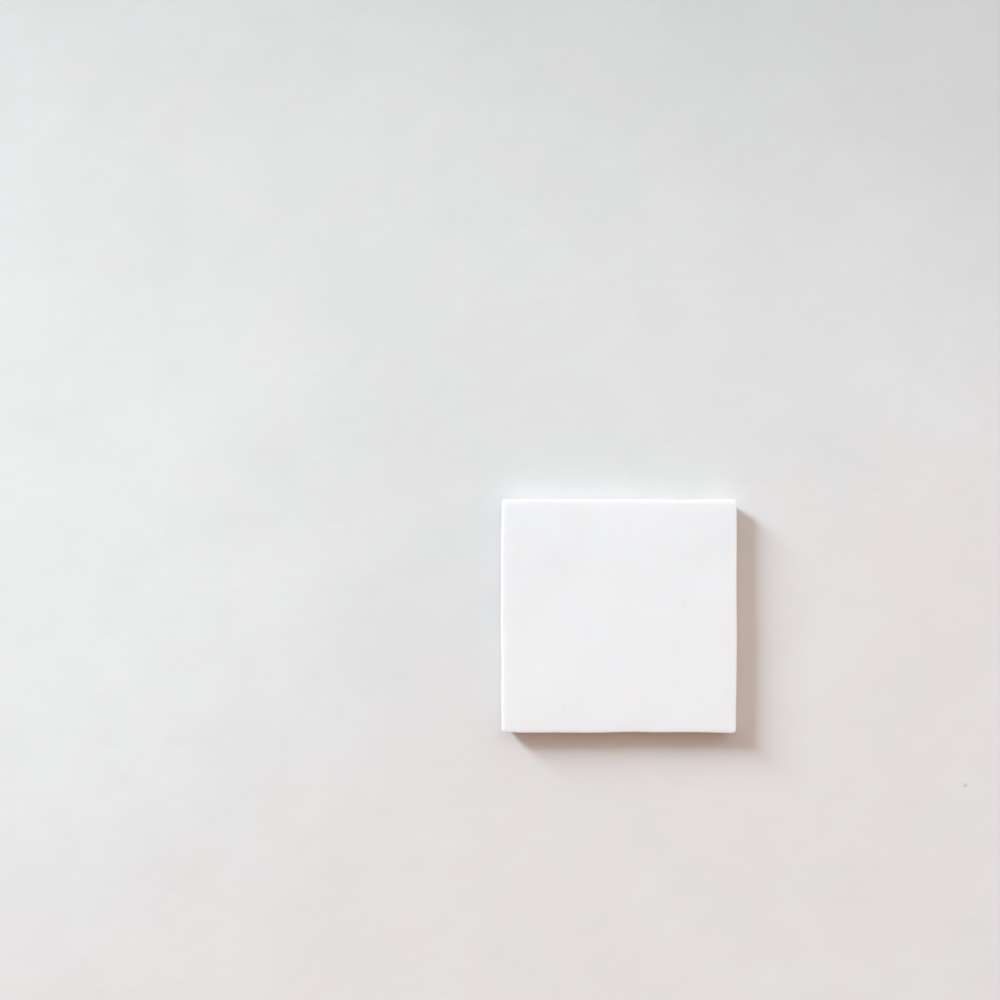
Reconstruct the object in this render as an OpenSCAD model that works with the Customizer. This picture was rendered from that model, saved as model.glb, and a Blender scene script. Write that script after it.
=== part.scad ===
// Square wall tile with a hand-finished face: pressed clay body, white glaze, keyed back.
// The origin is the middle of the back, and the glazed face looks up along +Z.

/* [Outline] */
// Width across X, measured at the widest line of the sides
tile_w = 130.6; // [100:0.2:200]
// Depth along Y, measured at the widest line of the sides
tile_d = 129.4; // [100:0.2:200]
// Thickness from the back to the general level of the glazed face
thickness = 10; // [8:0.1:14]
// How far each edge wanders from a straight line
edge_wander = 0.3; // [0:0.05:0.6]

/* [Edges] */
// Radius of the four corners, seen from above
corner_r = 1.8; // [1:0.1:6]
// Radius of the rounded arris between face and sides
arris_r = 0.5; // [0.4:0.1:3]
// How far each side leans in between the arris and the back
side_draft = 1.7; // [0.1:0.1:3]
// Width and height of the chamfer round the back
back_chamfer = 1.0; // [0.3:0.1:1.5]

/* [Face] */
// Depth of the deepest hand-pressed dent
dent_depth = 0.35; // [0:0.05:0.6]
// Height of the slow swell that runs across the face
swell_height = 0.12; // [0:0.02:0.3]
// How far the face falls away towards its arris
pillow_drop = 0.2; // [0:0.05:0.5]
// Width of the band in which it falls away
pillow_w = 7; // [4:0.5:15]

/* [Back] */
// Key pockets along each side, an even number so that two ribs cross in the middle
key_count = 6; // [2:2:10]
// Depth of a key pocket
key_depth = 0.8; // [0.3:0.1:1.5]
// Width of the rib between two pockets
key_rib = 4; // [2:0.5:8]
// Width of the plain border round the pockets
key_border = 6; // [4:0.5:15]
// Corner radius of a pocket
key_corner_r = 2; // [0.5:0.1:4]

/* [Hidden] */

// Width of one cell of the face's net, and steps round the arris
cell_w = 4.5;
arris_steps = 5;
// Flat land between the arris and the point where a corner's fan of cells starts
corner_land = 0.6;
// How far the clay and the cutters run past the plane of the back
overrun = 0.5;
$fn = 32;

// Hand-pressed dents and bumps: place as shares of the half sides, radius as a share of the
// half width, and depth as a share of dent_depth, with bumps below zero
DENTS = [
    [-0.39, 0.28, 0.27, 1.0],
    [0.82, 0.42, 0.24, 0.8],
    [-0.52, -0.62, 0.28, -0.6],
    [0.95, -0.60, 0.24, -0.6],
    [0.15, -0.30, 0.36, 0.4],
    [-0.15, 1.30, 0.55, 1.8],
    [0.35, -0.82, 0.24, 0.4],
];

// Slow waves of the face: turns across X, turns along Y, phase in degrees, and share
SWELLS = [
    [0.9, 0.5, 40, 0.5],
    [-0.6, 1.3, 200, 0.3],
    [1.9, 1.6, 110, 0.2],
];

// Wander of the right, left, upper and lower edges: turns along the edge, and phase in degrees
WANDERS = [[0.7, 70], [1.1, 250], [0.9, 160], [1.3, 20]];
// Share of a faster wave on each edge, and how many times faster it is
ripple_share = 0.35;
ripple_turns = 2.7;

half = [tile_w / 2, tile_d / 2];
// The net has plain cells in the middle and a fan of cells at each corner
fan_steps = arris_steps + 1;
fan_w = max(corner_r, arris_r) + corner_land;
field = [for (h = half) h - fan_w];
field_cells = [for (f = field) ceil(f / cell_w)];
net = [for (c = field_cells) c + fan_steps];
foot_in = side_draft;
back_in = side_draft + back_chamfer;

function total(values, i = 0) = i == len(values) ? 0 : values[i] + total(values, i + 1);

// Height of the face above its general level
function dent(d, x, y) =
    let (dx = x / half.x - d[0], dy = (y / half.y - d[1]) * half.y / half.x)
    -d[3] * exp(-(dx * dx + dy * dy) / (d[2] * d[2]));
function swell(s, x, y) = s[3] * sin(180 * (s[0] * x / half.x + s[1] * y / half.y) + s[2]);
function pillow(edge_in) = pow(max(0, 1 - edge_in / pillow_w), 2);
function relief(x, y) =
    let (edge_in = min(half.x - abs(x), half.y - abs(y)))
    dent_depth * total([for (d = DENTS) dent(d, x, y)])
    + swell_height * total([for (s = SWELLS) swell(s, x, y)])
    - pillow_drop * pillow(max(0, edge_in));

// Wander of one edge at a place along it, from -1 to 1
function wander(w, along) =
    let (angle = 180 * w[0] * along + w[1])
    edge_wander * ((1 - ripple_share) * sin(angle) + ripple_share * sin(ripple_turns * angle));
function warped(x, y) = [
    x + wander(WANDERS[x > 0 ? 0 : 1], y / half.y) * abs(x) / half.x,
    y + wander(WANDERS[y > 0 ? 2 : 3], x / half.x) * abs(y) / half.y,
];

// Cross-section of the arris: ring 0 starts the fan, and the last ring is the widest line
function arris_angle(ring) = 90 * max(0, ring - 1) / arris_steps;
function ring_reach(ring) = ring == 0 ? 0 : fan_w - arris_r * (1 - sin(arris_angle(ring)));
function ring_drop(ring) = arris_r * (1 - cos(arris_angle(ring)));

// Place round a corner, a steps from its X end, outwards from where the fan starts
function fan_point(ring, a) =
    let (
        reach = ring_reach(ring),
        r = corner_r * reach / fan_w,
        turn = 90 * a / (2 * ring)
    )
    [
        (reach - r) * min(1, 2 * ring - a) + r * cos(turn),
        (reach - r) * min(1, a) + r * sin(turn),
    ];
function fan_offset(over) =
    let (ring = max(over))
    ring == 0 ? [0, 0] : fan_point(ring, over.x == ring ? over.y : 2 * ring - over.x);

// Point of the net at counts i and j from the middle
function net_point(i, j) =
    let (
        over = [max(0, abs(i) - field_cells.x), max(0, abs(j) - field_cells.y)],
        out = fan_offset(over),
        x = sign(i) * (field.x * min(1, abs(i) / field_cells.x) + out.x),
        y = sign(j) * (field.y * min(1, abs(j) / field_cells.y) + out.y)
    )
    concat(warped(x, y), thickness - ring_drop(max(over)) + relief(x, y));

// Numbers of the points, row by row, and the closed loop of them round the net
row = 2 * net.x + 1;
function id(i, j) = (j + net.y) * row + i + net.x;
RIM = concat(
    [for (i = [-net.x:net.x - 1]) [i, -net.y]],
    [for (j = [-net.y:net.y - 1]) [net.x, j]],
    [for (i = [net.x:-1:-net.x + 1]) [i, net.y]],
    [for (j = [net.y:-1:-net.y + 1]) [-net.x, j]]
);
rim_count = len(RIM);
net_count = row * (2 * net.y + 1);
rim_ids = [for (p = RIM) id(p.x, p.y)];
function loop_ids(loop) = [for (n = [0:rim_count - 1]) net_count + loop * rim_count + n];

// The rim again, moved in and set at one height
function sunk_rim(in, z) = [
    for (p = RIM)
        let (top = net_point(p.x, p.y))
        [top.x * (1 - in / half.x), top.y * (1 - in / half.y), z]
];

// Two triangles of a cell, with the diagonal that points at the nearest corner
function cell_faces(i, j) =
    let (a = id(i, j), b = id(i + 1, j), c = id(i + 1, j + 1), d = id(i, j + 1))
    (i + 0.5) * (j + 0.5) > 0 ? [[a, d, c], [a, c, b]] : [[a, d, b], [d, c, b]];
function band_faces(upper, lower) = [
    for (n = [0:rim_count - 1])
        let (m = (n + 1) % rim_count)
        each [[lower[n], upper[n], upper[m]], [lower[n], upper[m], lower[m]]]
];

// The clay body as it comes from the press and the finisher's hands, run past its back
module clay() {
    points = concat(
        [for (j = [-net.y:net.y], i = [-net.x:net.x]) net_point(i, j)],
        sunk_rim(foot_in, back_chamfer),
        sunk_rim(back_in + overrun, -overrun)
    );
    faces = concat(
        [for (j = [-net.y:net.y - 1], i = [-net.x:net.x - 1]) each cell_faces(i, j)],
        band_faces(rim_ids, loop_ids(0)),
        band_faces(loop_ids(0), loop_ids(1)),
        [loop_ids(1)]
    );
    polyhedron(points = points, faces = faces, convexity = 4);
}

// Outline of one key pocket with round corners
module pocket_outline(size) {
    square([size.x - 2 * key_corner_r, size.y], center = true);
    square([size.x, size.y - 2 * key_corner_r], center = true);
    for (sx = [-1, 1], sy = [-1, 1])
        translate([sx * (size.x / 2 - key_corner_r), sy * (size.y / 2 - key_corner_r)])
            circle(r = key_corner_r);
}

// Square pockets that leave a lattice of ribs and a plain border standing
module key_pockets() {
    pitch = [for (h = half) (2 * (h - back_in - key_border) + key_rib) / key_count];
    middle = (key_count - 1) / 2;
    for (ix = [0:key_count - 1], iy = [0:key_count - 1])
        translate([(ix - middle) * pitch.x, (iy - middle) * pitch.y, -overrun])
            linear_extrude(height = key_depth + overrun)
                pocket_outline([pitch.x - key_rib, pitch.y - key_rib]);
}

// Everything below the plane of the back
module below_back() {
    translate([-tile_w, -tile_d, -2 * overrun])
        cube([2 * tile_w, 2 * tile_d, 2 * overrun]);
}

module tile() {
    color([0.94, 0.94, 0.95])
        difference() {
            clay();
            below_back();
            key_pockets();
        }
}

tile();
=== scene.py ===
import math

import bpy
import numpy as np
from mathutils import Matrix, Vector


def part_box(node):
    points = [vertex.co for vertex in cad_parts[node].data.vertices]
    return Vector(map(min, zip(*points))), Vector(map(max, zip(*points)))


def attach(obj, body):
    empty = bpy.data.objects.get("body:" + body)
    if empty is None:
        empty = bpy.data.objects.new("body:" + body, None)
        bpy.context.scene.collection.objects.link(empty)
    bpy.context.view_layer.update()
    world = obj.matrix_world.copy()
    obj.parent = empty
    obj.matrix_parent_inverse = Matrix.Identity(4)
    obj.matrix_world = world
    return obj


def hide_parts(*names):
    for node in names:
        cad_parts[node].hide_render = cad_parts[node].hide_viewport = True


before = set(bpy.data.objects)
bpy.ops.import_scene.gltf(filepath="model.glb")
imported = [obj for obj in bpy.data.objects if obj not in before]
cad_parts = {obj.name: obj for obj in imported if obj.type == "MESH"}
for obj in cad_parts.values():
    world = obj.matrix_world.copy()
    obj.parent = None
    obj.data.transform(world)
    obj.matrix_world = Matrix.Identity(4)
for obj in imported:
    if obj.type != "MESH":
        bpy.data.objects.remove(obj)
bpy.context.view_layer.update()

# All lengths are in metres, in the frame of the CAD model: the back lies at z = 0 and the face looks up.
MM = 0.001
NODE = "tile"
tile_low, tile_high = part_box(NODE)

# Sizes of the solid that its box doesn't tell
EDGE_WANDER = 0.3 * MM
CORNER_R = 1.8 * MM
ARRIS_R = 0.5 * MM
CORNER_LAND = 0.6 * MM
SIDE_DRAFT = 1.7 * MM
BACK_CHAMFER = 1.0 * MM
DENT_DEPTH = 0.35 * MM
SWELL_HEIGHT = 0.12 * MM
PILLOW_DROP = 0.20 * MM
PILLOW_W = 7 * MM
KEY_COUNT = 6
KEY_DEPTH = 0.8 * MM
KEY_RIB = 4 * MM
KEY_BORDER = 6 * MM
KEY_CORNER_R = 2 * MM
KEY_WALL_LEAN = 0.4 * MM

# Dents and bumps of the face: place as shares of the half sides, radius as a share of the half width,
# and depth as a share of DENT_DEPTH, with bumps below zero
DENTS = (
    (-0.39, 0.28, 0.27, 1.0),
    (0.82, 0.42, 0.24, 0.8),
    (-0.52, -0.62, 0.28, -0.6),
    (0.95, -0.60, 0.24, -0.6),
    (0.15, -0.30, 0.36, 0.4),
    (-0.15, 1.30, 0.55, 1.8),
    (0.35, -0.82, 0.24, 0.4),
)
# Slow waves of the face: turns across, turns along, phase in degrees, and share of SWELL_HEIGHT
SWELLS = ((0.9, 0.5, 40, 0.5), (-0.6, 1.3, 200, 0.3), (1.9, 1.6, 110, 0.2))
# Wander of the right, left, upper and lower edges: turns along the edge, and phase in degrees
WANDERS = ((0.7, 70), (1.1, 250), (0.9, 160), (1.3, 20))
RIPPLE_SHARE = 0.35
RIPPLE_TURNS = 2.7

# The net of the visible mesh: cells from the middle to the corner fan, steps of the fan, and rings of the
# sides and of the chamfer
FIELD_CELLS = 88
FAN_STEPS = 8
SIDE_RINGS = 12
CHAMFER_RINGS = 3
FAN_W = max(CORNER_R, ARRIS_R) + CORNER_LAND
# Where the net is closer, near the edges and the pocket walls: how many more cells it has for each one,
# and the distances between which that grows
EDGE_CELLS = 1.4
EDGE_FROM = 9 * MM
EDGE_TO = 6 * MM
WALL_CELLS = 5
WALL_FROM = 0.7 * MM
WALL_TO = 0.3 * MM
BESIDE_WALL_CELLS = 1.2
BESIDE_WALL_FROM = 2.5 * MM
BESIDE_WALL_TO = 1 * MM
# Places at which the outline and the relief are measured, and at which a net's density is summed up
OUTLINE_SAMPLES = 201
DENSITY_SAMPLES = 6001

# Fine relief that only the visible mesh has
BEAD_HEIGHT = 0.025 * MM
BEAD_IN = 1.9 * MM
BEAD_W = 1.0 * MM
BEAD_CELL = 17 * MM
BEAD_UNEVEN = 0.5
GROOVE_DEPTH = 0.02 * MM
GROOVE_IN = 4.6 * MM
GROOVE_W = 1.7 * MM
PUDDLE_CELL = 11 * MM
PUDDLE_HEIGHT = 0.035 * MM
PEEL_CELL = 3.2 * MM
PEEL_HEIGHT = 0.006 * MM
DIMPLE_COUNT = 16
DIMPLE_FIELD = 0.9
DIMPLE_R = (0.9 * MM, 1.7 * MM)
DIMPLE_DEPTH = (0.02 * MM, 0.05 * MM)
NICK_CELL = 5 * MM
NICK_DEPTH = 0.07 * MM
GLAZE_LINE_Z = 6.2 * MM
GLAZE_LINE_WANDER = 1.2 * MM
# How much higher the glaze ends towards the right and upper sides, from the middle of the tile
GLAZE_LINE_LEAN = (1.6 * MM, 0.5 * MM)
GLAZE_LINE_CELL = 13 * MM
GLAZE_RUN_CELL = 5 * MM
GLAZE_SLOW_SHARE = 0.6
GLAZE_THICKNESS = 0.12 * MM
GLAZE_LIP = 0.5 * MM
# The rolled lower edge of the glaze: how far it stands out, how far above the line, and how wide it is
GLAZE_ROLL = 0.10 * MM
GLAZE_ROLL_UP = 0.6 * MM
GLAZE_ROLL_W = 0.5 * MM
# How far below the arris the glaze on the sides is still thin
THIN_BELOW = 2.5 * MM
BISCUIT_GRAIN = 0.02 * MM
BACK_GRAIN_CELL = 1.6 * MM
SIDE_GRAIN_CELL = 1.3 * MM
# How much faster the grain of the sides changes downwards than along them
SIDE_GRAIN_STEEP = 7
# The relief of the sides grows over the first of this many equal parts of their height
SIDE_FADE_PARTS = 4


def smooth_step(low, high, value):
    """Rises from 0 at low to 1 at high."""
    share = np.clip((value - low) / (high - low), 0, 1)
    return share * share * (3 - 2 * share)


def fade(share):
    """Rises from 0 to 1 with neither a kink nor a sudden bend at its ends."""
    return share ** 3 * (share * (6 * share - 15) + 10)


def lattice_noise(x, y, cell, seed):
    """Smooth random field from -1 to 1 whose lumps are about one cell wide."""
    random = np.random.RandomState(seed)
    size = 64
    table = random.uniform(-1, 1, (size, size))
    turn = random.uniform(0, math.tau)
    u = (x * math.cos(turn) - y * math.sin(turn)) / cell
    v = (x * math.sin(turn) + y * math.cos(turn)) / cell
    i = np.floor(u).astype(int)
    j = np.floor(v).astype(int)
    fu = fade(u - i)
    fv = fade(v - j)
    low = table[i % size, j % size] * (1 - fu) + table[(i + 1) % size, j % size] * fu
    high = table[i % size, (j + 1) % size] * (1 - fu) + table[(i + 1) % size, (j + 1) % size] * fu
    return low * (1 - fv) + high * fv


def wander(edge, along):
    """How far an edge lies outside its straight line, at places from -1 to 1 along it."""
    turns, phase = WANDERS[edge]
    angle = math.pi * turns * along + math.radians(phase)
    slow = (1 - RIPPLE_SHARE) * np.sin(angle)
    ripple = RIPPLE_SHARE * np.sin(RIPPLE_TURNS * angle)
    return EDGE_WANDER * (slow + ripple)


def dents_and_swells(u, v, half):
    """Height of the face over its general level, at shares u and v of the half sides."""
    height = np.zeros_like(u)
    for du, dv, radius, depth in DENTS:
        far = (u - du) ** 2 + ((v - dv) * half[1] / half[0]) ** 2
        height -= DENT_DEPTH * depth * np.exp(-far / radius ** 2)
    for turns_u, turns_v, phase, share in SWELLS:
        angle = math.pi * (turns_u * u + turns_v * v) + math.radians(phase)
        height += SWELL_HEIGHT * share * np.sin(angle)
    return height


def edge_inset(x, y, half):
    """How far a place lies inside the nearest edge."""
    return np.maximum(np.minimum(half[0] - np.abs(x), half[1] - np.abs(y)), 0)


def relief(x, y, half):
    """The CAD model's face: dents, swells and the fall towards the arris."""
    pillow = np.maximum(0, 1 - edge_inset(x, y, half) / PILLOW_W) ** 2
    return dents_and_swells(x / half[0], y / half[1], half) - PILLOW_DROP * pillow


def measured_half_sides():
    """Half sides of the straight outline, which the wandering edges pass by a little."""
    along = np.linspace(-1, 1, OUTLINE_SAMPLES)
    reach = [wander(edge, along).max() for edge in range(4)]
    size = tile_high - tile_low
    return ((size.x - reach[0] - reach[1]) / 2, (size.y - reach[2] - reach[3]) / 2)


def measured_thickness(half):
    """General level of the face, from the height of the solid's highest place."""
    along = np.linspace(-1, 1, OUTLINE_SAMPLES)
    u, v = np.meshgrid(along, along)
    return tile_high.z - relief(u * half[0], v * half[1], half).max()


HALF = measured_half_sides()
THICKNESS = measured_thickness(HALF)
ARRIS_Z = THICKNESS - ARRIS_R
BACK_IN = SIDE_DRAFT + BACK_CHAMFER


def face_density(place, half):
    """The face's net is closer near its edges, where the glaze rolls over."""
    return 1 + EDGE_CELLS * smooth_step(half - EDGE_FROM, half - EDGE_TO, place)


def key_pitch(half):
    """From the middle of one key pocket to the next."""
    return (2 * (half - BACK_IN - KEY_BORDER) + KEY_RIB) / KEY_COUNT


def back_density(place, half):
    """The back's net is closest where it steps down the walls of the key pockets."""
    pitch = key_pitch(half)
    size = pitch - KEY_RIB
    middle = np.minimum(np.floor(place / pitch), KEY_COUNT / 2 - 1) * pitch + pitch / 2
    wall = np.abs(np.abs(place - middle) - (size - KEY_WALL_LEAN) / 2)
    at_wall = 1 - smooth_step(WALL_TO, WALL_FROM, wall)
    beside_wall = 1 - smooth_step(BESIDE_WALL_TO, BESIDE_WALL_FROM, wall)
    return 1 + WALL_CELLS * at_wall + BESIDE_WALL_CELLS * beside_wall


def net_lines(half, density):
    """Places of a net's lines from the middle to the corner fan, closer where density is high."""
    places = np.linspace(0, half - FAN_W, DENSITY_SAMPLES)
    weight = density(places, half)
    reached = np.concatenate([[0], np.cumsum((weight[1:] + weight[:-1]) / 2)])
    return np.interp(np.linspace(0, reached[-1], FIELD_CELLS + 1), reached, places)


def arris_profile():
    """How far each ring of the fan reaches out, how far the arris drops there, and the angle round it."""
    angle = np.radians(90 * np.maximum(0, np.arange(FAN_STEPS + 1) - 1) / (FAN_STEPS - 1))
    reach = FAN_W - ARRIS_R * (1 - np.sin(angle))
    reach[0] = 0
    return reach, ARRIS_R * (1 - np.cos(angle)), angle


def even_profile():
    """How far each ring of the fan reaches out on the sides and the back, where they are even."""
    return np.linspace(0, FAN_W, FAN_STEPS + 1)


# The net's points as counts from the middle, and the ring of the fan that each lies on
STEPS = FIELD_CELLS + FAN_STEPS
COUNTS = np.arange(-STEPS, STEPS + 1)
NET_I, NET_J = np.meshgrid(COUNTS, COUNTS)
OVER_X = np.maximum(0, np.abs(NET_I) - FIELD_CELLS)
OVER_Y = np.maximum(0, np.abs(NET_J) - FIELD_CELLS)
RING = np.maximum(OVER_X, OVER_Y)


def warped(x, y):
    """Lets the four edges wander, and the net with them."""
    right, left = (wander(edge, y / HALF[1]) for edge in (0, 1))
    upper, lower = (wander(edge, x / HALF[0]) for edge in (2, 3))
    x_moved = x + np.where(x > 0, right, left) * np.abs(x) / HALF[0]
    y_moved = y + np.where(y > 0, upper, lower) * np.abs(y) / HALF[1]
    return x_moved, y_moved


def drawn_in(x, y, inset):
    """The same places on an outline that lies further in."""
    return x * (1 - inset / HALF[0]), y * (1 - inset / HALF[1])


def net_places(lines_x, lines_y, reach):
    """Places of a whole net: straight lines in the field, and a fan of rings round each corner."""
    ring = np.maximum(RING, 1)
    step = np.where(OVER_X == RING, OVER_Y, 2 * RING - OVER_X)
    out = reach[RING]
    round_r = CORNER_R * out / FAN_W
    turn = np.pi / 2 * step / (2 * ring)
    out_x = (out - round_r) * np.minimum(1, 2 * RING - step) + round_r * np.cos(turn)
    out_y = (out - round_r) * np.minimum(1, step) + round_r * np.sin(turn)
    x = np.sign(NET_I) * (lines_x[np.minimum(np.abs(NET_I), FIELD_CELLS)] + np.where(RING > 0, out_x, 0))
    y = np.sign(NET_J) * (lines_y[np.minimum(np.abs(NET_J), FIELD_CELLS)] + np.where(RING > 0, out_y, 0))
    return x, y


def rim_of(net):
    """The values round the outside of a net, as one closed loop."""
    return np.concatenate([net[0, :-1], net[:-1, -1], net[-1, :0:-1], net[:0:-1, 0]])


def dimples(x, y):
    """A few shallow pits where gas left the glaze."""
    random = np.random.RandomState(seed=7)
    depth = np.zeros_like(x)
    for _ in range(DIMPLE_COUNT):
        cx = random.uniform(-DIMPLE_FIELD, DIMPLE_FIELD) * HALF[0]
        cy = random.uniform(-DIMPLE_FIELD, DIMPLE_FIELD) * HALF[1]
        radius = random.uniform(*DIMPLE_R)
        depth += random.uniform(*DIMPLE_DEPTH) * np.exp(-((x - cx) ** 2 + (y - cy) ** 2) / radius ** 2)
    return depth


def glaze_relief(x, y):
    """The glaze's own surface on the face: a bead along the arris, a groove, puddles, peel and pits."""
    inset = edge_inset(x, y, HALF)
    uneven = 1 + BEAD_UNEVEN * lattice_noise(x, y, BEAD_CELL, seed=11)
    bead = BEAD_HEIGHT * uneven * np.exp(-((inset - BEAD_IN) / BEAD_W) ** 2)
    groove = GROOVE_DEPTH * uneven * np.exp(-((inset - GROOVE_IN) / GROOVE_W) ** 2)
    puddles = PUDDLE_HEIGHT * lattice_noise(x, y, PUDDLE_CELL, seed=21)
    peel = PEEL_HEIGHT * lattice_noise(x, y, PEEL_CELL, seed=31)
    return bead - groove + puddles + peel - dimples(x, y)


def nicks(x, y):
    """How deep the arris is nicked. It is whole where this is below zero."""
    return NICK_DEPTH * lattice_noise(x, y, NICK_CELL, seed=41)


def face_net():
    """The net's lines, points of the glazed face and arris, and how far round the arris each lies."""
    reach, drop, angle = arris_profile()
    lines = [net_lines(half, face_density) for half in HALF]
    x, y = net_places(lines[0], lines[1], reach)
    on_face = np.cos(angle[RING])
    on_arris = np.sin(angle[RING])
    z = THICKNESS - drop[RING] + relief(x, y, HALF) + on_face * glaze_relief(x, y)
    x_moved, y_moved = drawn_in(*warped(x, y), np.maximum(0, nicks(x, y) * on_arris))
    return lines, np.stack([x_moved, y_moved, z], axis=-1), on_arris


def key_pocket_height(x, y):
    """How far the back is hollowed at a place: square pockets with round corners and leaning walls."""
    near = []
    for place, half in ((x, HALF[0]), (y, HALF[1])):
        pitch = key_pitch(half)
        index = np.clip(np.floor(place / pitch), -KEY_COUNT / 2, KEY_COUNT / 2 - 1)
        near.append(np.abs(place - (index + 0.5) * pitch) - ((pitch - KEY_RIB) / 2 - KEY_CORNER_R))
    outside = np.hypot(np.maximum(near[0], 0), np.maximum(near[1], 0))
    distance = outside + np.minimum(np.maximum(near[0], near[1]), 0) - KEY_CORNER_R
    return KEY_DEPTH * smooth_step(0, KEY_WALL_LEAN, -distance)


def back_net():
    """The net's lines, and points of the bare back with its key pockets."""
    lines = [net_lines(half, back_density) for half in HALF]
    x, y = warped(*net_places(lines[0], lines[1], even_profile()))
    x, y = drawn_in(x, y, BACK_IN)
    grain = BISCUIT_GRAIN * np.abs(lattice_noise(x, y, BACK_GRAIN_CELL, seed=51)) * (RING < FAN_STEPS)
    return lines, np.stack([x, y, key_pocket_height(x, y) + grain], axis=-1)


def glaze_line(x, y):
    """Height at which the glaze ends on the sides: lower where it ran together as the tile was tilted."""
    lean = GLAZE_LINE_LEAN[0] * x / HALF[0] + GLAZE_LINE_LEAN[1] * y / HALF[1]
    slow = lattice_noise(x, y, GLAZE_LINE_CELL, seed=61)
    runs = np.maximum(0, lattice_noise(x, y, GLAZE_RUN_CELL, seed=71)) ** 2
    return GLAZE_LINE_Z + lean + GLAZE_LINE_WANDER * (GLAZE_SLOW_SHARE * slow - runs)


def side_loops(face_lines, back_lines, face_rim_z):
    """Loops down the sides: glaze with a rolled lower edge, then bare biscuit, then the chamfer."""
    reach = even_profile()
    loops = []
    for share in np.arange(1, SIDE_RINGS + 1) / SIDE_RINGS:
        lines = [(1 - share) * f + share * b for f, b in zip(face_lines, back_lines)]
        x, y = (rim_of(net) for net in warped(*net_places(lines[0], lines[1], reach)))
        z = face_rim_z * (1 - share) + BACK_CHAMFER * share
        above = z - glaze_line(x, y)
        coat = GLAZE_THICKNESS * smooth_step(0, GLAZE_LIP, above)
        roll = GLAZE_ROLL * np.exp(-((above - GLAZE_ROLL_UP) / GLAZE_ROLL_W) ** 2)
        nick = np.maximum(0, nicks(x, y)) * (1 - share)
        grain = BISCUIT_GRAIN * lattice_noise(x + SIDE_GRAIN_STEEP * z, y, SIDE_GRAIN_CELL, seed=81)
        grown = min(1, SIDE_FADE_PARTS * share)
        inset = SIDE_DRAFT * share + nick + grown * (GLAZE_THICKNESS - coat - roll + grain)
        loops.append(np.stack([*drawn_in(x, y, inset), z], axis=-1))
    x, y = (rim_of(net) for net in warped(*net_places(back_lines[0], back_lines[1], reach)))
    for share in np.arange(1, CHAMFER_RINGS) / CHAMFER_RINGS:
        inset = SIDE_DRAFT + GLAZE_THICKNESS * (1 - share) + BACK_CHAMFER * share
        z = np.full_like(x, BACK_CHAMFER * (1 - share))
        loops.append(np.stack([*drawn_in(x, y, inset), z], axis=-1))
    return loops


def grid_quads(first, upward):
    """Quads of a whole net whose points are numbered row by row from first."""
    row = 2 * STEPS + 1
    start = first + np.arange(row * row).reshape(row, row)
    a, b, c, d = start[:-1, :-1], start[:-1, 1:], start[1:, 1:], start[1:, :-1]
    order = (a, b, c, d) if upward else (a, d, c, b)
    return np.stack([corner.ravel() for corner in order], axis=-1)


def band_quads(upper, lower):
    """Quads between two closed loops of point numbers."""
    return np.stack([lower, np.roll(lower, -1), np.roll(upper, -1), upper], axis=-1)


def build_tile_mesh():
    """One closed mesh: the face's net, loops down the sides, and the back's net."""
    face_lines, face, on_arris = face_net()
    back_lines, back = back_net()
    loops = side_loops(face_lines, back_lines, rim_of(face[..., 2]))
    net_count = face.shape[0] * face.shape[1]
    numbers = np.arange(net_count).reshape(face.shape[:2])
    rim = rim_of(numbers)
    points = [face.reshape(-1, 3)] + loops + [back.reshape(-1, 3)]
    chain = [rim]
    for k in range(len(loops)):
        chain.append(net_count + k * len(rim) + np.arange(len(rim)))
    back_first = net_count + len(loops) * len(rim)
    chain.append(back_first + rim)
    quads = [grid_quads(0, True), grid_quads(back_first, False)]
    quads += [band_quads(upper, lower) for upper, lower in zip(chain, chain[1:])]
    points = np.concatenate(points)
    mesh = bpy.data.meshes.new("glazed_tile")
    mesh.from_pydata(points.tolist(), [], np.concatenate(quads).tolist())
    above = points[:, 2] - glaze_line(points[:, 0], points[:, 1])
    above[back_first:] = -1
    arris = np.zeros(len(points))
    arris[:net_count] = on_arris.ravel()
    side_z = points[net_count:back_first, 2]
    arris[net_count:back_first] = smooth_step(ARRIS_Z - THIN_BELOW, ARRIS_Z, side_z)
    for name, values in (("above_line_mm", above / MM), ("on_arris", arris)):
        mesh.attributes.new(name, "FLOAT", "POINT").data.foreach_set("value", values.astype(np.float32))
    mesh.shade_smooth()
    mesh.validate()
    return mesh


# Between these lies most of a noise, and nearly all of it
NOISE_MOST = (0.3, 0.7)
NOISE_NEARLY_ALL = (0.2, 0.8)


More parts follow.
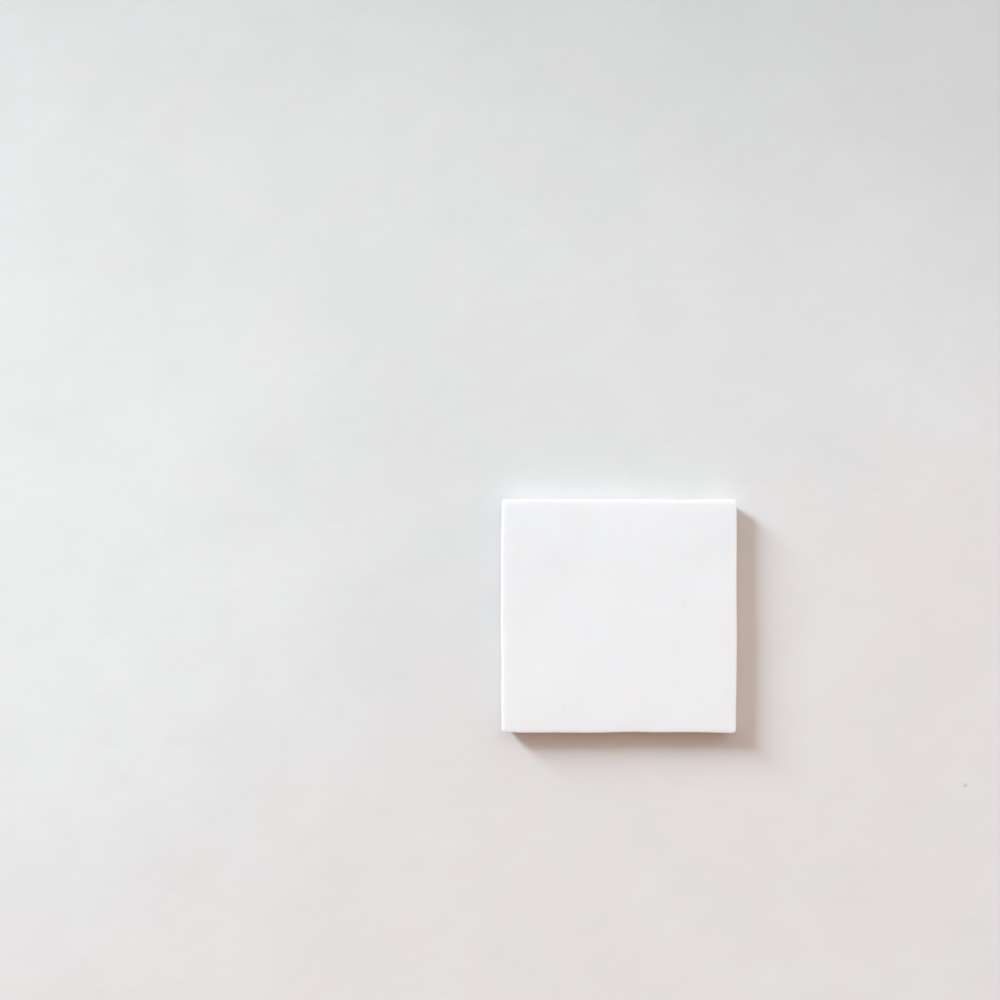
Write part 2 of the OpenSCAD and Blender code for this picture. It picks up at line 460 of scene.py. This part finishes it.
class Nodes:
    """Short way to add linked nodes to a material's or the world's tree."""

    # The Mix node's two colour inputs and its colour output, which share their names with other sockets
    COLOUR_INPUTS = (6, 7)
    COLOUR_OUTPUT = 2

    def __init__(self, tree):
        self.tree = tree
        tree.nodes.clear()

    def add(self, kind, inputs=(), **settings):
        made = self.tree.nodes.new(kind)
        for name, value in settings.items():
            setattr(made, name, value)
        for name, value in dict(inputs).items():
            if isinstance(value, bpy.types.NodeSocket):
                self.tree.links.new(value, made.inputs[name])
            else:
                made.inputs[name].default_value = value
        return made

    def noise(self, place, size, detail=2.0, roughness=0.5):
        """Noise whose lumps are about size metres wide."""
        inputs = {"Vector": place, "Scale": 1 / size, "Detail": detail, "Roughness": roughness}
        return self.add("ShaderNodeTexNoise", inputs).outputs["Fac"]

    def ramp(self, value, low, high, to_low=0.0, to_high=1.0):
        """Turns values from low to high into to_low to to_high, and holds them beyond."""
        inputs = {"Value": value, "From Min": low, "From Max": high, "To Min": to_low, "To Max": to_high}
        return self.add("ShaderNodeMapRange", inputs, interpolation_type="SMOOTHSTEP").outputs["Result"]

    def mix_colour(self, share, one, other):
        made = self.add("ShaderNodeMix", {"Factor": share}, data_type="RGBA")
        for index, value in zip(self.COLOUR_INPUTS, (one, other)):
            if isinstance(value, bpy.types.NodeSocket):
                self.tree.links.new(value, made.inputs[index])
            else:
                made.inputs[index].default_value = (*value, 1)
        return made.outputs[self.COLOUR_OUTPUT]

    def dots(self, place, cell, rim):
        """A dot in the middle of each cell of a random net, and the cell's own random colour."""
        cells = self.add("ShaderNodeTexVoronoi", {"Vector": place, "Scale": 1 / cell})
        colour = self.add("ShaderNodeSeparateColor", {"Color": cells.outputs["Color"]})
        return self.ramp(cells.outputs["Distance"], *rim, 1.0, 0.0), colour.outputs

    def math(self, operation, one, other):
        return self.add("ShaderNodeMath", {0: one, 1: other}, operation=operation).outputs[0]

    def vector_math(self, operation, *values, result="Vector"):
        inputs = dict(enumerate(values))
        return self.add("ShaderNodeVectorMath", inputs, operation=operation).outputs[result]

    def attribute(self, name):
        return self.add("ShaderNodeAttribute", attribute_name=name).outputs["Fac"]

    def bump(self, height, distance, normal=None):
        inputs = {"Height": height, "Distance": distance, "Strength": 1.0}
        if normal is not None:
            inputs["Normal"] = normal
        return self.add("ShaderNodeBump", inputs).outputs["Normal"]


GLAZE_WHITE = (0.869, 0.870, 0.874)
# The cool white below paints the reflection of the window's cool light on the glaze
GLAZE_WINDOW_TINT = (0.868, 0.873, 0.902)
GLAZE_WARM = (0.868, 0.860, 0.848)
GLAZE_THIN = (0.900, 0.862, 0.826)
PINHOLE = (0.60, 0.57, 0.54)
BISCUIT = (0.550, 0.420, 0.345)
BISCUIT_PALE = (0.650, 0.530, 0.445)
BISCUIT_SPECK = (0.36, 0.26, 0.19)
# Painted reflection of the cool window light, stronger towards the upper edge and the left where the
# window is: what across counts beside up, the random patches in it, and where it fades in
WINDOW_TINT_LEAN = 0.2
WINDOW_TINT_CELL = 30 * MM
WINDOW_TINT_UNEVEN = 0.3
WINDOW_TINT_FADE = (0.45, 0.75)
# Patches of warmer glaze, and of glaze that ran thin on the arris
WARM_CELL = 21 * MM
WARM_FADE = (0.50, 0.80)
THIN_CELL = 6 * MM
THIN_UNEVEN = 0.2
THIN_FADE = (0.25, 1.0)
# Pinholes: two cells in five have one, which fades out between these shares of the cell from its middle
PINHOLE_CELL = 9 * MM
PINHOLE_RIM = (0.02, 0.06)
PINHOLE_CHOSEN = (0.60, 0.62)
PINHOLE_STRENGTH = 0.5
PINHOLE_DEPTH = 0.15 * MM
GLAZE_IOR = 1.5
GLAZE_ROUGHNESS = 0.17
ROUGHNESS_DRIFT = 0.03
ROUGHNESS_CELL = 14 * MM
# Orange peel finer than the mesh
FINE_PEEL_CELL = 2.6 * MM
FINE_PEEL_HEIGHT = 0.012 * MM
# How far red, green and blue light spreads inside the glaze and the pale clay under it
GLAZE_LIGHT_REACH = (2.2 * MM, 1.5 * MM, 1.2 * MM)
BISCUIT_ROUGHNESS = 0.9
# The paler wash, the dark specks, the pressed grain and the slower unevenness of the bare clay
WASH_CELL = 16 * MM
WASH_FADE = (0.38, 0.66)
SPECK_CELL = 0.9 * MM
SPECK_FADE = (0.70, 0.78)
SPECK_STRENGTH = 0.6
PRESSED_CELL = 0.5 * MM
PRESSED_HEIGHT = 0.08 * MM
SLOW_CELL = 4 * MM
SLOW_HEIGHT = 0.10 * MM
# The line between glaze and bare clay: how wide its ragged bits are, and, in plain millimetres, how high
# they reach and where the glaze fades in
RAGGED_CELL = 1.2 * MM
RAGGED_BY = 0.25
LINE_FADE = (-0.05, 0.12)


def painted_window_tint(nodes, place):
    """Painted reflection of the cool window light: grows towards the upper edge and the left, where the
    window is, with random patches.
    """
    split = nodes.add("ShaderNodeSeparateXYZ", {"Vector": place})
    up = nodes.math("MULTIPLY", split.outputs["Y"], 1 / HALF[1])
    across = nodes.math("MULTIPLY", split.outputs["X"], -WINDOW_TINT_LEAN / HALF[0])
    uneven = nodes.ramp(nodes.noise(place, WINDOW_TINT_CELL), *NOISE_NEARLY_ALL, -WINDOW_TINT_UNEVEN, WINDOW_TINT_UNEVEN)
    return nodes.math("ADD", nodes.math("ADD", up, across), uneven)


def glaze_shader(nodes, place):
    """White glaze: a painted cool reflection towards the window's side, slow warm drifts, thinner on the
    arris, with pinholes and orange peel.
    """
    # Painted reflection: the glaze turns cooler and lighter towards the upper left, where the window is
    window_tint = nodes.ramp(painted_window_tint(nodes, place), *WINDOW_TINT_FADE)
    warm = nodes.ramp(nodes.noise(place, WARM_CELL), *WARM_FADE)
    colour = nodes.mix_colour(window_tint, GLAZE_WHITE, GLAZE_WINDOW_TINT)
    colour = nodes.mix_colour(warm, colour, GLAZE_WARM)
    patchy = nodes.ramp(nodes.noise(place, THIN_CELL), *NOISE_MOST, -THIN_UNEVEN, THIN_UNEVEN)
    thin_edge = nodes.math("ADD", nodes.attribute("on_arris"), patchy)
    colour = nodes.mix_colour(nodes.ramp(thin_edge, *THIN_FADE), colour, GLAZE_THIN)
    dot, cell_colour = nodes.dots(place, PINHOLE_CELL, PINHOLE_RIM)
    pin = nodes.math("MULTIPLY", dot, nodes.ramp(cell_colour["Red"], *PINHOLE_CHOSEN))
    colour = nodes.mix_colour(nodes.math("MULTIPLY", pin, PINHOLE_STRENGTH), colour, PINHOLE)
    least = GLAZE_ROUGHNESS - ROUGHNESS_DRIFT
    most = GLAZE_ROUGHNESS + ROUGHNESS_DRIFT
    rough = nodes.ramp(nodes.noise(place, ROUGHNESS_CELL, detail=3.0), *NOISE_MOST, least, most)
    normal = nodes.bump(nodes.noise(place, FINE_PEEL_CELL), FINE_PEEL_HEIGHT)
    normal = nodes.bump(pin, -PINHOLE_DEPTH, normal)
    inputs = {"Base Color": colour, "Roughness": rough, "IOR": GLAZE_IOR, "Normal": normal}
    shader = nodes.add("ShaderNodeBsdfPrincipled", inputs)
    shader.inputs["Subsurface Weight"].default_value = 1.0
    shader.inputs["Subsurface Radius"].default_value = GLAZE_LIGHT_REACH
    shader.inputs["Subsurface Scale"].default_value = 1.0
    return shader.outputs["BSDF"]


def biscuit_shader(nodes, place):
    """Bare fired clay: pinkish cream with a patchy paler wash, dark specks and a pressed grain."""
    wash = nodes.ramp(nodes.noise(place, WASH_CELL, detail=4.0, roughness=0.6), *WASH_FADE)
    colour = nodes.mix_colour(wash, BISCUIT, BISCUIT_PALE)
    specks = nodes.ramp(nodes.noise(place, SPECK_CELL, detail=1.0), *SPECK_FADE)
    colour = nodes.mix_colour(nodes.math("MULTIPLY", specks, SPECK_STRENGTH), colour, BISCUIT_SPECK)
    normal = nodes.bump(nodes.noise(place, PRESSED_CELL, detail=3.0, roughness=0.7), PRESSED_HEIGHT)
    normal = nodes.bump(nodes.noise(place, SLOW_CELL), SLOW_HEIGHT, normal)
    inputs = {"Base Color": colour, "Roughness": BISCUIT_ROUGHNESS, "Normal": normal}
    return nodes.add("ShaderNodeBsdfPrincipled", inputs).outputs["BSDF"]


def new_material(name):
    """An empty material, its nodes, and the socket that gives the place on the object."""
    material = bpy.data.materials.new(name)
    material.use_nodes = True
    nodes = Nodes(material.node_tree)
    return material, nodes, nodes.add("ShaderNodeTexCoord").outputs["Object"]


def tile_material():
    """Glaze above the glaze line and bare clay below it."""
    material, nodes, place = new_material("glazed_tile")
    ragged = nodes.noise(place, RAGGED_CELL, detail=3.0)
    ragged = nodes.ramp(ragged, *NOISE_NEARLY_ALL, -RAGGED_BY, RAGGED_BY)
    above = nodes.math("ADD", nodes.attribute("above_line_mm"), ragged)
    glazed = nodes.ramp(above, *LINE_FADE)
    inputs = {0: glazed, 1: biscuit_shader(nodes, place), 2: glaze_shader(nodes, place)}
    shader = nodes.add("ShaderNodeMixShader", inputs).outputs[0]
    nodes.add("ShaderNodeOutputMaterial", {"Surface": shader})
    return material


FLOOR_GREY = (0.732, 0.735, 0.729)
FLOOR_PINK = (0.770, 0.733, 0.722)
# The palest floor colour paints a pool of light to the left of the tile
FLOOR_PAINTED_LIGHT = (0.803, 0.805, 0.798)
# The dimmest floor colour paints the shade where the light falls off towards the top right
FLOOR_PAINTED_SHADE = (0.605, 0.610, 0.604)
FLOOR_PIT = (0.52, 0.48, 0.46)
FLOOR_HALF = 4.0
# Middle of the painted pool of light on the floor, and the distances from there between which it grows
PAINTED_LIGHT_MIDDLE = (-0.36, 0.03, 0)
PAINTED_LIGHT_FROM = 0.30
PAINTED_LIGHT_TO = 0.06
# Which way the painted shade darkens the floor and which way it turns pinkish, as shares of X beside Y,
# and over which stretch
PAINTED_SHADE_LEAN = 0.3
PAINTED_SHADE_FROM = 0.14
PAINTED_SHADE_TO = 0.45
PINK_LEAN = 0.5
PINK_FROM = 0.09
PINK_TO = -0.06
# The mottling of each: how large its clouds are, and how strong
PINK_CLOUDS = (0.045, 0.25)
PAINTED_LIGHT_CLOUDS = (0.08, 0.20)
PAINTED_SHADE_CLOUDS = (0.06, 0.08)
# Pits: about one cell in five has one, which fades out between these shares of the cell from its middle
PIT_CELL = 0.045
PIT_RIM = (0.010, 0.035)
PIT_CHOSEN = (0.80, 0.84)
PIT_STRENGTH = 0.7
FLOOR_GRAIN_CELL = 0.02
FLOOR_GRAIN_HEIGHT = 0.25 * MM
FLOOR_ROUGHNESS = 0.9


def floor_material():
    """Pale plaster with a painted pool of light to the left and painted shade to the top right: its tone
    drifts slowly and mottles, with a few small pits.
    """
    material, nodes, place = new_material("plaster_floor")
    split = nodes.add("ShaderNodeSeparateXYZ", {"Vector": place})

    def leaning(share):
        """Y with a share of X added."""
        return nodes.math("ADD", split.outputs["Y"], nodes.math("MULTIPLY", split.outputs["X"], share))

    def mottled(mask, size, amount):
        cloud = nodes.noise(place, size, detail=5.0, roughness=0.6)
        return nodes.math("ADD", mask, nodes.ramp(cloud, *NOISE_MOST, -amount, amount))

    far = nodes.vector_math("DISTANCE", place, PAINTED_LIGHT_MIDDLE, result="Value")
    pink = mottled(nodes.ramp(leaning(-PINK_LEAN), PINK_FROM, PINK_TO), *PINK_CLOUDS)
    # Painted pool of light, brightest to the left of the tile
    painted_light = mottled(nodes.ramp(far, PAINTED_LIGHT_FROM, PAINTED_LIGHT_TO), *PAINTED_LIGHT_CLOUDS)
    # Painted shade: the floor darker towards the top right, where the light falls off
    painted_shade = mottled(nodes.ramp(leaning(PAINTED_SHADE_LEAN), PAINTED_SHADE_FROM, PAINTED_SHADE_TO), *PAINTED_SHADE_CLOUDS)
    colour = nodes.mix_colour(pink, FLOOR_GREY, FLOOR_PINK)
    colour = nodes.mix_colour(painted_light, colour, FLOOR_PAINTED_LIGHT)
    colour = nodes.mix_colour(painted_shade, colour, FLOOR_PAINTED_SHADE)
    dot, cell_colour = nodes.dots(place, PIT_CELL, PIT_RIM)
    chosen = nodes.ramp(cell_colour["Green"], *PIT_CHOSEN, 0.0, PIT_STRENGTH)
    colour = nodes.mix_colour(nodes.math("MULTIPLY", dot, chosen), colour, FLOOR_PIT)
    grain = nodes.noise(place, FLOOR_GRAIN_CELL, detail=5.0, roughness=0.6)
    normal = nodes.bump(grain, FLOOR_GRAIN_HEIGHT)
    inputs = {"Base Color": colour, "Roughness": FLOOR_ROUGHNESS, "Normal": normal}
    shader = nodes.add("ShaderNodeBsdfPrincipled", inputs).outputs["BSDF"]
    nodes.add("ShaderNodeOutputMaterial", {"Surface": shader})
    return material


def make_floor():
    """A wide plain floor, which isn't part of the tile."""
    corners = [(sx * FLOOR_HALF, sy * FLOOR_HALF, 0) for sx, sy in ((-1, -1), (1, -1), (1, 1), (-1, 1))]
    mesh = bpy.data.meshes.new("floor")
    mesh.from_pydata(corners, [], [(0, 1, 2, 3)])
    floor = bpy.data.objects.new("floor", mesh)
    bpy.context.scene.collection.objects.link(floor)
    floor.data.materials.append(floor_material())


# Light by colour channel, as shares of the level at which a white floor renders white: together about 1
WINDOW_LIGHT = (0.385, 0.495, 0.565)
ROOM_LIGHT = (0.65, 0.54, 0.47)
# How much the room's light grows towards its bright side, and the plan angle of that side from +X
ROOM_SLOPE = (0.57, 0.70, 0.78)
BRIGHT_SIDE = math.radians(48)
ROOM_SEEN = (0.80, 0.78, 0.77)
# Where the window is, counted from +X towards +Y and up from the floor, how far off, and its size
WINDOW_PLAN = math.radians(140.5)
WINDOW_RISE = math.radians(22.3)
WINDOW_DISTANCE = 9.0
WINDOW_WIDTH = 2.0
WINDOW_HEIGHT = 4.2
# What gloss shows of it: its level, and the angles from its middle where that level fades in
WINDOW_SEEN = (2.00, 2.04, 2.10)
GLOW_FROM = math.radians(20)
GLOW_TO = math.radians(10)


def window_direction():
    """Where the window lies from the tile, as a direction of length 1."""
    level = math.cos(WINDOW_RISE)
    return (level * math.cos(WINDOW_PLAN), level * math.sin(WINDOW_PLAN), math.sin(WINDOW_RISE))


def make_window():
    """A soft lamp that looks at the tile. Gloss shows the world's glow in its place."""
    lamp = bpy.data.lights.new("window", "AREA")
    lamp.shape = "RECTANGLE"
    lamp.size = WINDOW_WIDTH
    lamp.size_y = WINDOW_HEIGHT
    lamp.color = WINDOW_LIGHT
    # The power at which a white lamp there lights a white floor at level 1
    lamp.energy = (math.pi * WINDOW_DISTANCE) ** 2 / math.sin(WINDOW_RISE)
    made = bpy.data.objects.new("window", lamp)
    made.location = [WINDOW_DISTANCE * share for share in window_direction()]
    made.rotation_euler = (math.pi / 2 - WINDOW_RISE, 0, WINDOW_PLAN + math.pi / 2)
    made.visible_camera = False
    made.visible_glossy = False
    bpy.context.scene.collection.objects.link(made)


def make_room():
    """Soft warm light from all round, stronger on one side. Camera and gloss see a pale backdrop."""
    world = bpy.data.worlds.new("room")
    world.use_nodes = True
    bpy.context.scene.world = world
    nodes = Nodes(world.node_tree)
    rays = nodes.add("ShaderNodeLightPath")
    glossy = rays.outputs["Is Glossy Ray"]
    towards = nodes.add("ShaderNodeTexCoord").outputs["Generated"]
    bright_side = (math.cos(BRIGHT_SIDE), math.sin(BRIGHT_SIDE), 0)
    slope = nodes.vector_math("DOT_PRODUCT", towards, bright_side, result="Value")
    light = nodes.vector_math("MULTIPLY_ADD", slope, ROOM_SLOPE, ROOM_LIGHT)
    light = nodes.vector_math("MAXIMUM", light, (0, 0, 0))
    near = nodes.vector_math("DOT_PRODUCT", towards, window_direction(), result="Value")
    glow = nodes.ramp(near, math.cos(GLOW_FROM), math.cos(GLOW_TO))
    glow = nodes.math("MULTIPLY", glossy, glow)
    backdrop = nodes.mix_colour(glow, ROOM_SEEN, WINDOW_SEEN)
    seen = nodes.math("MAXIMUM", rays.outputs["Is Camera Ray"], glossy)
    colour = nodes.mix_colour(seen, light, backdrop)
    background = nodes.add("ShaderNodeBackground", {"Color": colour, "Strength": 1.0})
    nodes.add("ShaderNodeOutputWorld", {"Surface": background.outputs[0]})


# Camera: straight down, its axis where the middle of the photograph's frame lies beside the tile
PHOTO_SIZE_PX = 1000
TILE_MIDDLE_PX = (619.0, 616.1)
METRES_PER_PX = 0.555 * MM
LENS = 100.0
SENSOR = 36.0


def make_camera():
    camera = bpy.data.cameras.new("camera")
    camera.lens = LENS
    camera.sensor_width = SENSOR
    made = bpy.data.objects.new("camera", camera)
    from_axis_x = (TILE_MIDDLE_PX[0] - PHOTO_SIZE_PX / 2) * METRES_PER_PX
    from_axis_y = (TILE_MIDDLE_PX[1] - PHOTO_SIZE_PX / 2) * METRES_PER_PX
    height = METRES_PER_PX * PHOTO_SIZE_PX * LENS / SENSOR
    made.location = (-from_axis_x, from_axis_y, THICKNESS + height)
    bpy.context.scene.collection.objects.link(made)
    bpy.context.scene.camera = made


tile = bpy.data.objects.new("glazed_tile", build_tile_mesh())
bpy.context.scene.collection.objects.link(tile)
tile.data.materials.append(tile_material())
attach(tile, "root")
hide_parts(NODE)

make_floor()
make_room()
make_window()
make_camera()
bpy.context.scene.view_settings.view_transform = "Standard"
